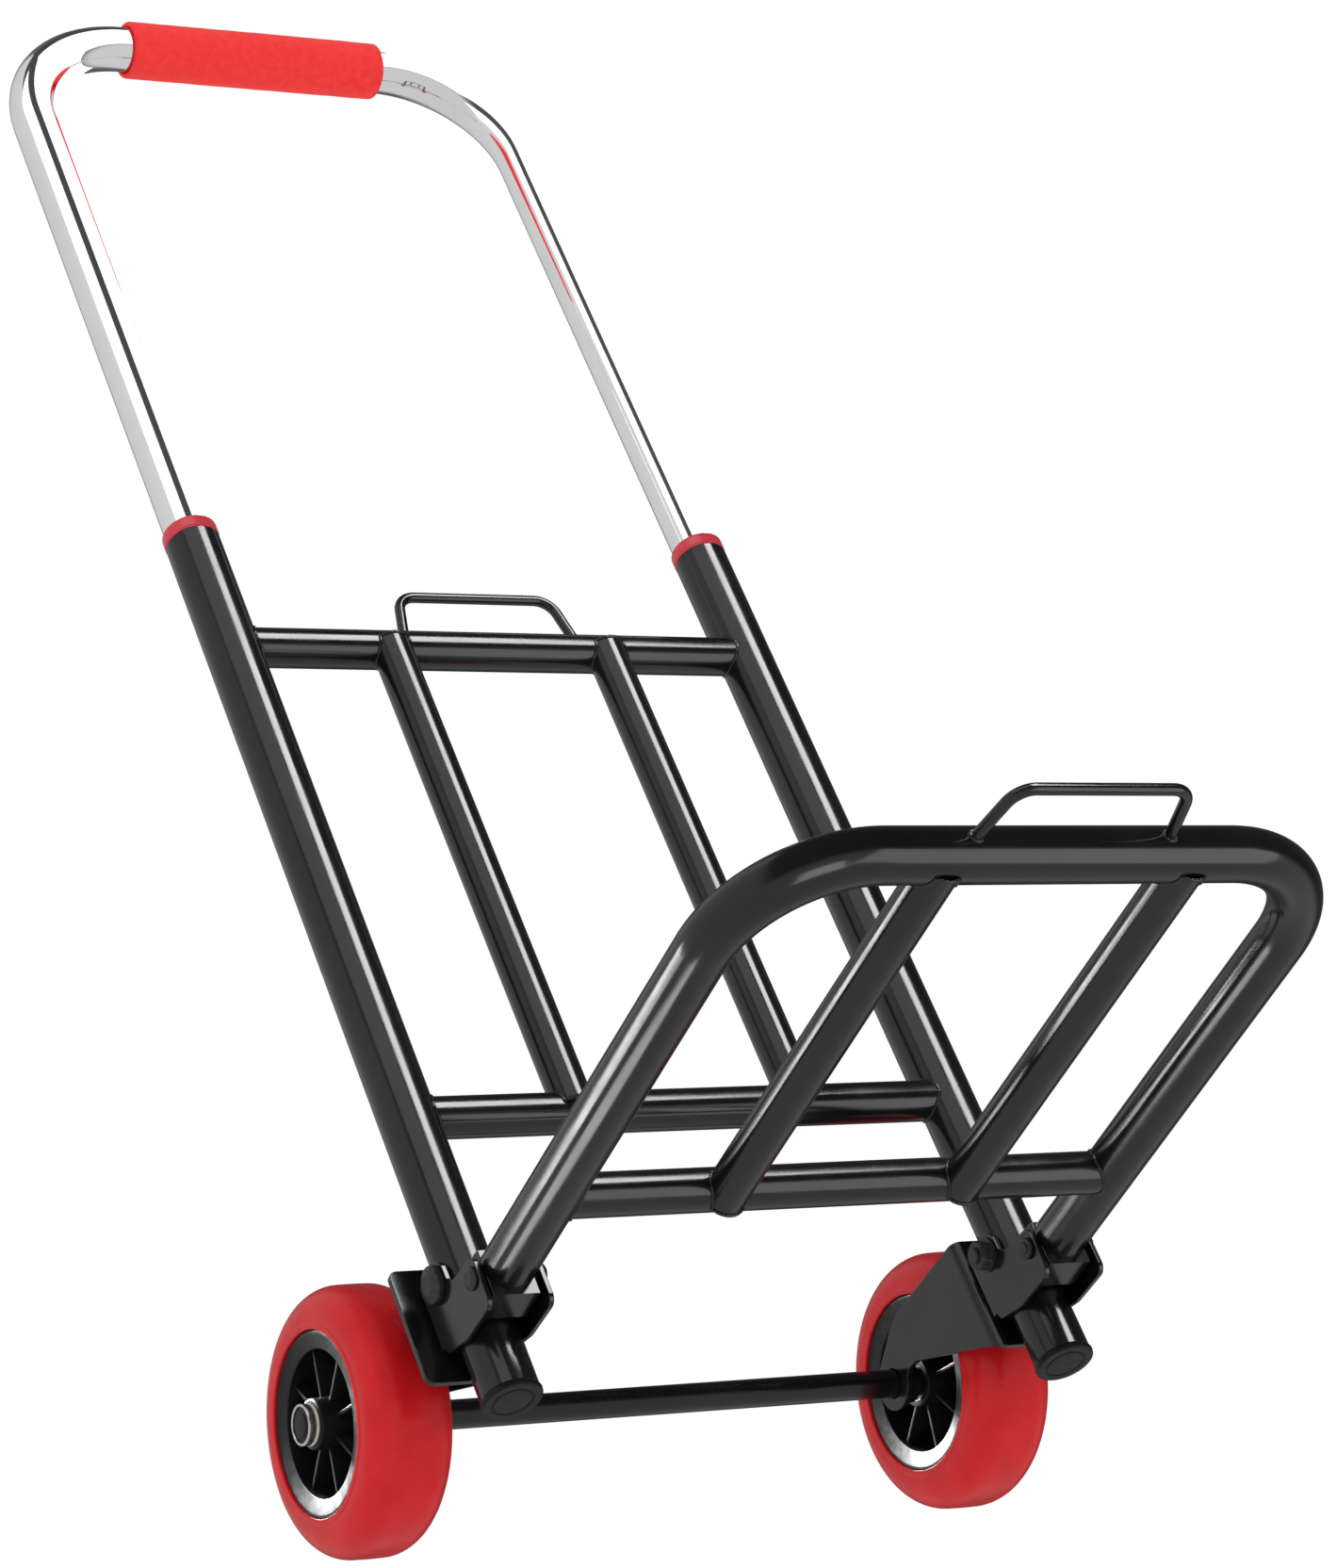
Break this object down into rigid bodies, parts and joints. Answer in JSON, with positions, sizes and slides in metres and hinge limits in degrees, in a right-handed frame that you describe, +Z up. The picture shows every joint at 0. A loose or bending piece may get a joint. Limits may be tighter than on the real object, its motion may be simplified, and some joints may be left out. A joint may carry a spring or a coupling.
{
  "type": "hand truck",
  "caption": "Folding hand truck: tubular back frame, telescopic U-shaped handle with a padded grip, fold-up tube platform at the foot and a pair of wheels behind.",
  "frame": {"origin": "middle of the footprint box on the floor, under the rails and between the wheels", "axes": "+X to the right seen from the front, -Y forwards along the platform, +Y back towards the wheels, +Z up along the rails"},
  "size_m": [0.3898, 0.5322, 0.9205],
  "materials": {
    "frame_paint": "gloss black powder coat",
    "chrome": "bright chrome plate",
    "grip_foam": "red foam rubber sleeve",
    "collar_plastic": "red moulded plastic",
    "tyre_rubber": "red solid rubber, semi-gloss",
    "black_plastic": "black moulded plastic",
    "bush_nylon": "natural nylon",
    "black_steel": "black zinc-plated steel",
    "zinc": "zinc-plated steel"
  },
  "bodies": {
    "root": {"upper_crossbar": "frame_paint", "lower_crossbar": "frame_paint", "upper_loop": "frame_paint", "axle": "frame_paint", "left_rail": "frame_paint", "right_rail": "frame_paint", "left_rail_collar": "collar_plastic", "right_rail_collar": "collar_plastic", "left_foot_cap": "black_plastic", "right_foot_cap": "black_plastic", "left_inner_rail": "frame_paint", "right_inner_rail": "frame_paint", "left_hinge_clevis": "frame_paint", "right_hinge_clevis": "frame_paint", "left_wheel_bracket": "frame_paint", "right_wheel_bracket": "frame_paint", "left_clevis_bolt": "black_steel", "right_clevis_bolt": "black_steel", "left_clevis_nut": "black_steel", "right_clevis_nut": "black_steel", "left_pivot_pin": "black_steel", "right_pivot_pin": "black_steel", "left_pivot_clip": "black_steel", "right_pivot_clip": "black_steel", "left_lower_rivet": "zinc", "right_lower_rivet": "zinc", "left_upper_rivet": "zinc", "right_upper_rivet": "zinc", "left_axle_collar": "frame_paint", "right_axle_collar": "frame_paint", "left_inner_washer": "zinc", "right_inner_washer": "zinc", "left_outer_washer": "zinc", "right_outer_washer": "zinc", "left_axle_cap": "black_plastic", "right_axle_cap": "black_plastic"},
    "handle": {"handle_tube": "chrome", "handle_grip": "grip_foam", "left_leg_plug": "black_plastic", "right_leg_plug": "black_plastic", "left_button_spring": "zinc", "right_button_spring": "zinc"},
    "left_button": {"left_lock_button": "zinc"},
    "right_button": {"right_lock_button": "zinc"},
    "platform": {"platform_frame": "frame_paint", "platform_crossbar": "frame_paint", "platform_loop": "frame_paint", "left_platform_rail": "frame_paint", "right_platform_rail": "frame_paint", "left_platform_hinge_end": "frame_paint", "right_platform_hinge_end": "frame_paint"},
    "left_wheel": {"left_tyre": "tyre_rubber", "left_wheel_core": "black_plastic", "left_inner_bush": "bush_nylon", "left_outer_bush": "bush_nylon"},
    "right_wheel": {"right_tyre": "tyre_rubber", "right_wheel_core": "black_plastic", "right_inner_bush": "bush_nylon", "right_outer_bush": "bush_nylon"}
  },
  "joints": [
    {"name": "handle_slide", "type": "slide", "parent": "root", "child": "handle", "axis": [0, 0, 1], "range_m": [-0.29, 0]},
    {"name": "platform_fold", "type": "hinge", "parent": "root", "child": "platform", "pos_m": [0, 0.06663, 0.0465], "axis": [-1, 0, 0], "range_deg": [0, 90]},
    {"name": "left_wheel_spin", "type": "hinge", "parent": "root", "child": "left_wheel", "pos_m": [-0.1647, 0.20262, 0.0635], "axis": [1, 0, 0], "continuous": true},
    {"name": "right_wheel_spin", "type": "hinge", "parent": "root", "child": "right_wheel", "pos_m": [0.1647, 0.20262, 0.0635], "axis": [1, 0, 0], "continuous": true},
    {"name": "left_button_press", "type": "slide", "parent": "handle", "child": "left_button", "axis": [0, 1, 0], "range_m": [0, 0.0024], "stiffness_N_per_m": 100, "springref_m": 0.003},
    {"name": "right_button_press", "type": "slide", "parent": "handle", "child": "right_button", "axis": [0, 1, 0], "range_m": [0, 0.0024], "stiffness_N_per_m": 100, "springref_m": 0.003}
  ]
}
